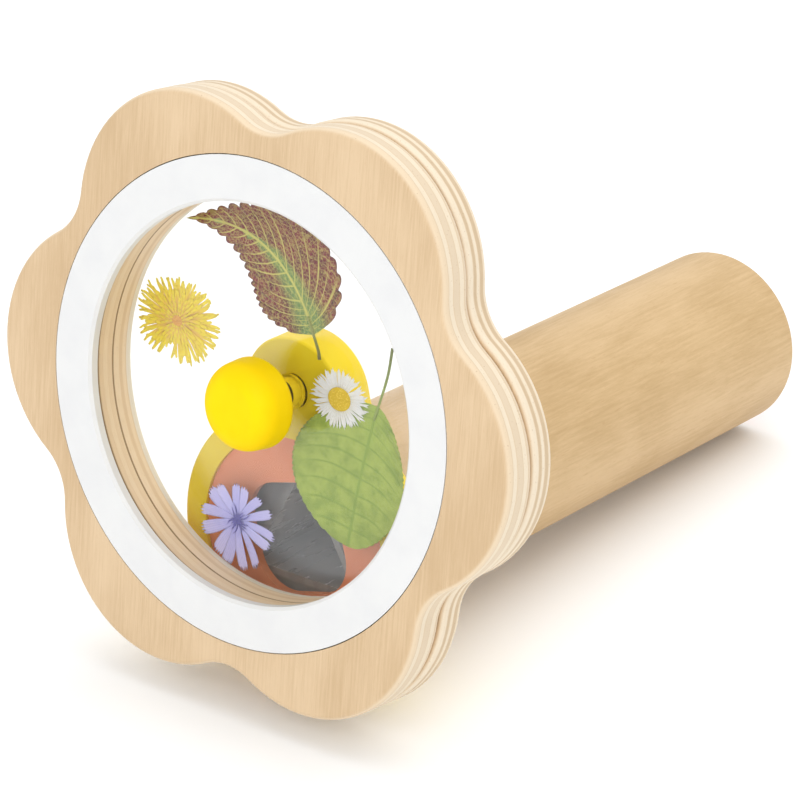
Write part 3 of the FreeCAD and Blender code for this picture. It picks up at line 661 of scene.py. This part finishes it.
def dandelion():
    """Crowded strap florets in rings, shorter towards the brownish middle, with a torn gap."""
    rng = random.Random(11)
    sheet = Sheet("dandelion_flower")
    centre, half = lies("dandelion")
    outer = (1.08 * half, 0.86 * half)
    torn_at, torn_half = 253, 11  # degrees
    # From the outside in: share of the full reach, count of florets, their width
    rings = [(1.0, 46, 0.72), (0.94, 44, 0.74), (0.84, 42, 0.76), (0.71, 38, 0.75),
             (0.57, 32, 0.7), (0.43, 26, 0.65), (0.30, 20, 0.6), (0.18, 14, 0.5)]
    for k, (share, count, width) in enumerate(rings):
        for i in range(count):
            angle = 2 * math.pi * (i + 0.5 * (k % 2) + rng.uniform(-0.25, 0.25)) / count
            reach = 1.0 / math.hypot(math.cos(angle) / outer[0], math.sin(angle) / outer[1])
            reach *= share * rng.uniform(0.93, 1.03)
            from_tear = abs((math.degrees(angle) - torn_at + 180) % 360 - 180)
            if from_tear < torn_half and share > 0.6:
                reach *= 0.62
            inner = 0.25 * reach
            start = (centre[0] + inner * math.cos(angle), centre[1] + inner * math.sin(angle))
            depth = 15.08 - 0.052 * k + rng.uniform(-0.02, 0.02)
            add_strip(sheet, start, angle, reach - inner, width * rng.uniform(0.8, 1.15), depth,
                      rng.random(), teeth=2, tooth=0.035, bend=rng.uniform(-0.14, 0.14), rise=0.03,
                      cup=0.06, limit=PLANT_REACH, steps=7)
    add_dome(sheet, centre, (1.6, 1.4), depth=14.75, height=0.08, rings=5, around=18, lumps=0.03,
             seed=1)
    yellow = petal("dandelion_ray", [(0.0, srgb(240, 190, 116)), (0.5, srgb(246, 208, 104)),
                                     (0.75, srgb(250, 230, 72)), (1.0, srgb(252, 236, 84))],
                   vein=srgb(232, 184, 84), shade=0.22)
    sheet.finish([yellow, florets("dandelion_middle", srgb(238, 190, 108), srgb(214, 156, 84))],
                 "wheel", "dandelion")


def daisy():
    """Three rows of fine white rays round a low yellow disc."""
    rng = random.Random(5)
    sheet = Sheet("daisy_flower")
    centre, half = lies("daisy")
    outer = (1.02 * half, 0.85 * half)
    inner = 2.6
    for k, (share, count) in enumerate(((1.0, 50), (0.97, 46), (0.88, 38))):
        for i in range(count):
            angle = 2 * math.pi * (i + 0.5 * k + rng.uniform(-0.3, 0.3)) / count
            reach = 1.0 / math.hypot(math.cos(angle) / outer[0], math.sin(angle) / outer[1])
            reach *= share * rng.uniform(0.88, 1.04)
            start = (centre[0] + inner * math.cos(angle), centre[1] + inner * math.sin(angle))
            width, depth = rng.uniform(0.42, 0.56), 14.85 - 0.05 * k
            add_strip(sheet, start, angle, reach - inner, width, depth, rng.random(),
                      bend=rng.uniform(-0.2, 0.2), cup=0.03, steps=6, narrow=0.7)
    add_dome(sheet, centre, (3.25, 2.75), depth=14.74, height=0.10, rings=8, around=32,
             lumps=0.03, seed=3)
    white = petal("daisy_ray", [(0.0, srgb(246, 242, 226)), (0.3, srgb(252, 252, 250)),
                                (1.0, srgb(255, 255, 254))],
                  vein=srgb(222, 220, 212), shade=0.10)
    sheet.finish([white, florets("daisy_disc", srgb(240, 214, 96), srgb(212, 180, 60))],
                 "wheel", "daisy")


def chicory():
    """Strap petals with toothed tips, shorter at the top, round a tuft of dark blue stamens."""
    rng = random.Random(8)
    sheet = Sheet("chicory_flower")
    centre, half = lies("chicory")
    petals, stamens = 14, 22
    for k in range(petals):
        angle = 2 * math.pi * (k + rng.uniform(-0.22, 0.22)) / petals
        length = half * (0.97 - 0.12 * math.sin(angle) + rng.uniform(-0.07, 0.07))
        width = rng.uniform(2.1, 3.5)
        add_strip(sheet, centre, angle, length, width, 15.0 - 0.07 * (k % 3), rng.random(),
                  teeth=4 if width > 2.8 else 3, tooth=0.10, bend=rng.uniform(-0.12, 0.12),
                  cup=0.07, limit=PLANT_REACH, steps=10, narrow=0.22)
    for i in range(stamens):
        angle = 2 * math.pi * (i + rng.uniform(-0.3, 0.3)) / stamens
        length = rng.uniform(1.8, 4.6)
        add_strip(sheet, centre, angle, length, 0.34, 14.78, rng.random(),
                  bend=rng.uniform(-0.5, 0.5), cup=0.02, material=1, steps=6, narrow=0.8)
    blue = petal("chicory_petal", [(0.0, srgb(164, 160, 218)), (0.4, srgb(192, 188, 232)),
                                   (1.0, srgb(206, 200, 236))],
                 vein=srgb(140, 138, 208), shade=0.3)
    dark = petal("chicory_stamen", [(0.0, srgb(104, 98, 176)), (0.7, srgb(124, 118, 196)),
                                    (1.0, srgb(180, 174, 222))],
                 vein=srgb(84, 80, 150), shade=0.4)
    sheet.finish([blue, dark], "wheel", "chicory")


def add_blade(sheet, rib, depth, veins, sweep, teeth, tooth, relief, rows=220, columns=24):
    """A leaf blade between a rib's two margins, with teeth of up to tooth mm and veins quilted
    by relief mm. The rows lie closer near the base. They follow the side veins, which sweep
    towards the tip by a share of the length."""
    full_teeth_from = 9.0  # mm of blade beside the rib; the teeth are smaller where it's narrower
    hollow = 0.10  # how far the side veins sag back towards the base, as a share of that width
    crowding, tooth_lean = 1.6, 1.6  # of the rows towards the base; of each tooth to the tip
    made = []
    for i in range(rows + 1):
        u = (i / rows) ** crowding
        root = rib.at(u)
        row = []
        for j in range(-columns, columns + 1):
            v = abs(j) / columns
            side = 0 if j < 0 else 1
            ahead = u + sweep * (1 - u) * min(1.0, 8 * u) * 0.9
            end = rib.margin(ahead, side)
            along = (rib.margin(ahead + 0.01, side) - rib.margin(ahead - 0.01, side)).normalized()
            outward = Vector((along.y, -along.x, 0)) * (1 if j < 0 else -1)
            if outward.dot(end - root) < 0:
                outward = -outward
            width = (end - root).length
            saw = ((teeth * ahead) % 1.0) ** tooth_lean
            notch = 1.0 - math.sqrt(max(0.0, 1 - (2 * saw - 1) ** 2))
            edge = end - outward * tooth * notch * min(1.0, width / full_teeth_from)
            q = root + (edge - root) * v
            q -= along * (hollow * width * math.sin(math.pi * v))
            reach_out = math.hypot(q.x, q.y)
            if reach_out > PLANT_REACH:
                q *= PLANT_REACH / reach_out
            phase = (0.4 * u + 0.6 * ahead) * veins
            quilt = abs((phase % 1.0) - 0.5) * 2
            z = depth - relief * (1 - quilt) * min(1.0, v * 4) + relief * 0.5
            row.append((q.x, q.y, between_windows(z), {
                "phase": phase + 0.5, "across": v, "rib": (q - root).length, "along": u}))
        made.append(row)
    sheet.grid(made)


def coleus_leaf():
    """Pointed leaf with saw teeth, maroon with a green heart and yellow-green veins."""
    sheet = Sheet("coleus_leaf_pressed")
    middle, _ = lies("coleus_leaf")
    base = middle + Vector((14.5, -12, 0))
    rib = Rib(base, middle + Vector((2.5, 13.5, 0)), middle + Vector((-25, 6.5, 0)),
              left=12.2, right=14.2, early=0.5, full=1.2)
    add_blade(sheet, rib, depth=14.98, veins=17.0, sweep=0.44, teeth=17.0, tooth=1.3, relief=0.10)
    stem_end = base + Vector((2.2, -5.3, 0))
    add_stem(sheet, [stem_end, base.lerp(stem_end, 0.5) + Vector((0.3, 0, 0)), rib.at(0.08)],
             widths=(1.0, 0.7), depth=14.86)
    maroon = leaf("coleus_blade", srgb(132, 62, 62), srgb(98, 42, 48), heart=srgb(112, 138, 82),
                  vein=srgb(200, 194, 106), heart_reach=7.5, net_share=0.5, line_share=0.85,
                  rim=srgb(96, 40, 48))
    stem = petal("leaf_stem", [(0.0, srgb(122, 112, 76)), (0.6, srgb(142, 146, 88)),
                               (1.0, srgb(176, 184, 104))],
                 vein=srgb(96, 92, 60), shade=0.3)
    sheet.finish([maroon, stem], "wheel", "coleus_leaf")


def round_leaf():
    """Broad oval leaf, green, with a long thin stem and a finely toothed margin."""
    sheet = Sheet("round_leaf_pressed")
    middle, half = lies("round_leaf")
    base = middle + Vector((0.48, 1.07, 0)) * half
    bow, tip = middle + Vector((0.24, 0.1, 0)) * half, middle + Vector((0.12, -1.04, 0)) * half
    rib = Rib(base, bow, tip, left=0.76 * half, right=1.2 * half, early=1.2, full=0.5)
    add_blade(sheet, rib, depth=14.99, veins=10.0, sweep=0.26, teeth=30.0, tooth=0.40, relief=0.12)
    stem_end = base + Vector((3, 14.5, 0))
    add_stem(sheet, [stem_end, base.lerp(stem_end, 0.5) + Vector((0.6, 0, 0)), rib.at(0.1)],
             widths=(0.8, 0.6), depth=14.88)
    green = leaf("round_blade", srgb(164, 180, 88), srgb(136, 156, 72), heart=srgb(154, 174, 82),
                 vein=srgb(120, 146, 62), heart_reach=2.0, net_share=0.12, line_share=0.55)
    stem = petal("round_stem", [(0.0, srgb(120, 128, 72)), (0.6, srgb(150, 166, 92)),
                                (1.0, srgb(170, 188, 104))],
                 vein=srgb(100, 110, 60), shade=0.3)
    sheet.finish([green, stem], "wheel", "round_leaf")


dandelion()
daisy()
chicory()
coleus_leaf()
round_leaf()

# ------------------------------------------------------------------ camera and studio

VIEW_ANGLES = (36.77, 17.99, 4.06)  # azimuth, elevation and roll in degrees, about the wheel
VIEW_TARGET = Vector((43.57, 12.63, 0.0))  # in the wheel frame, in mm
VIEW_DISTANCE = 775.6  # mm
SENSOR_WIDTH, LENS = 36.0, 161.87  # mm
WORLD_COLOUR, WORLD_STRENGTH = (0.985, 0.992, 1.0, 1.0), 0.86
FLOOR_HALF, FLOOR_DROP = 4.0, 0.0002  # half breadth, and the gap under the object, in metres


def make_camera():
    """Long lens from the front right and above, aimed at the wheel and rolled a little."""
    azimuth, elevation, roll = (math.radians(a) for a in VIEW_ANGLES)
    back = Vector((math.sin(azimuth) * math.cos(elevation), math.sin(elevation),
                   math.cos(azimuth) * math.cos(elevation)))
    level = Vector((math.cos(azimuth), 0.0, -math.sin(azimuth)))
    upward = back.cross(level)
    right = level * math.cos(roll) + upward * math.sin(roll)
    up = upward * math.cos(roll) - level * math.sin(roll)
    turn = WHEEL.to_3x3().normalized()
    axes = Matrix([turn @ right, turn @ up, turn @ back]).transposed().to_4x4()
    data = bpy.data.cameras.new("camera")
    data.sensor_width = SENSOR_WIDTH
    data.lens = LENS
    data.clip_start, data.clip_end = 0.01, 50.0
    camera = bpy.data.objects.new("camera", data)
    axes.translation = WHEEL @ (VIEW_TARGET + back * VIEW_DISTANCE)
    camera.matrix_world = axes
    bpy.context.scene.collection.objects.link(camera)
    bpy.context.scene.camera = camera


def area_light(name, place, aim, size, power):
    data = bpy.data.lights.new(name, "AREA")
    data.shape = "DISK"
    data.size = size
    data.energy = power
    light = bpy.data.objects.new(name, data)
    light.location = place
    light.rotation_mode = "QUATERNION"
    light.rotation_quaternion = (Vector(aim) - Vector(place)).to_track_quat("-Z", "Y")
    bpy.context.scene.collection.objects.link(light)


def make_studio():
    """Bright even surroundings, two soft lights and a near-white floor."""
    world = bpy.data.worlds.new("studio")
    world.use_nodes = True
    background = world.node_tree.nodes["Background"]
    background.inputs["Color"].default_value = WORLD_COLOUR
    background.inputs["Strength"].default_value = WORLD_STRENGTH
    scene = bpy.context.scene
    scene.world = world
    scene.view_settings.view_transform = "Standard"
    centre = (CAD_BOX[0] + CAD_BOX[1]) / 2
    area_light("front", centre + Vector((0.6, -1.45, 0.75)), centre, size=1.3, power=8.8)
    area_light("top", centre + Vector((0.1, 0.5, 1.6)), centre, size=2.4, power=16.0)
    mesh = bpy.data.meshes.new("floor")
    half = FLOOR_HALF
    mesh.from_pydata([(-half, -half, 0), (half, -half, 0), (half, half, 0), (-half, half, 0)], [],
                     [(0, 1, 2, 3)])
    floor = bpy.data.objects.new("floor", mesh)
    floor.location.z = CAD_BOX[0].z - FLOOR_DROP
    scene.collection.objects.link(floor)
    s = Shader("studio_floor")
    s.shine(Base_Color=s.mix(s.noise(0.004, 2.0), (0.955, 0.96, 0.965), (0.965, 0.97, 0.975)),
            Roughness=0.9, Specular_IOR_Level=0.1)
    mesh.materials.append(s.material)


make_camera()
make_studio()
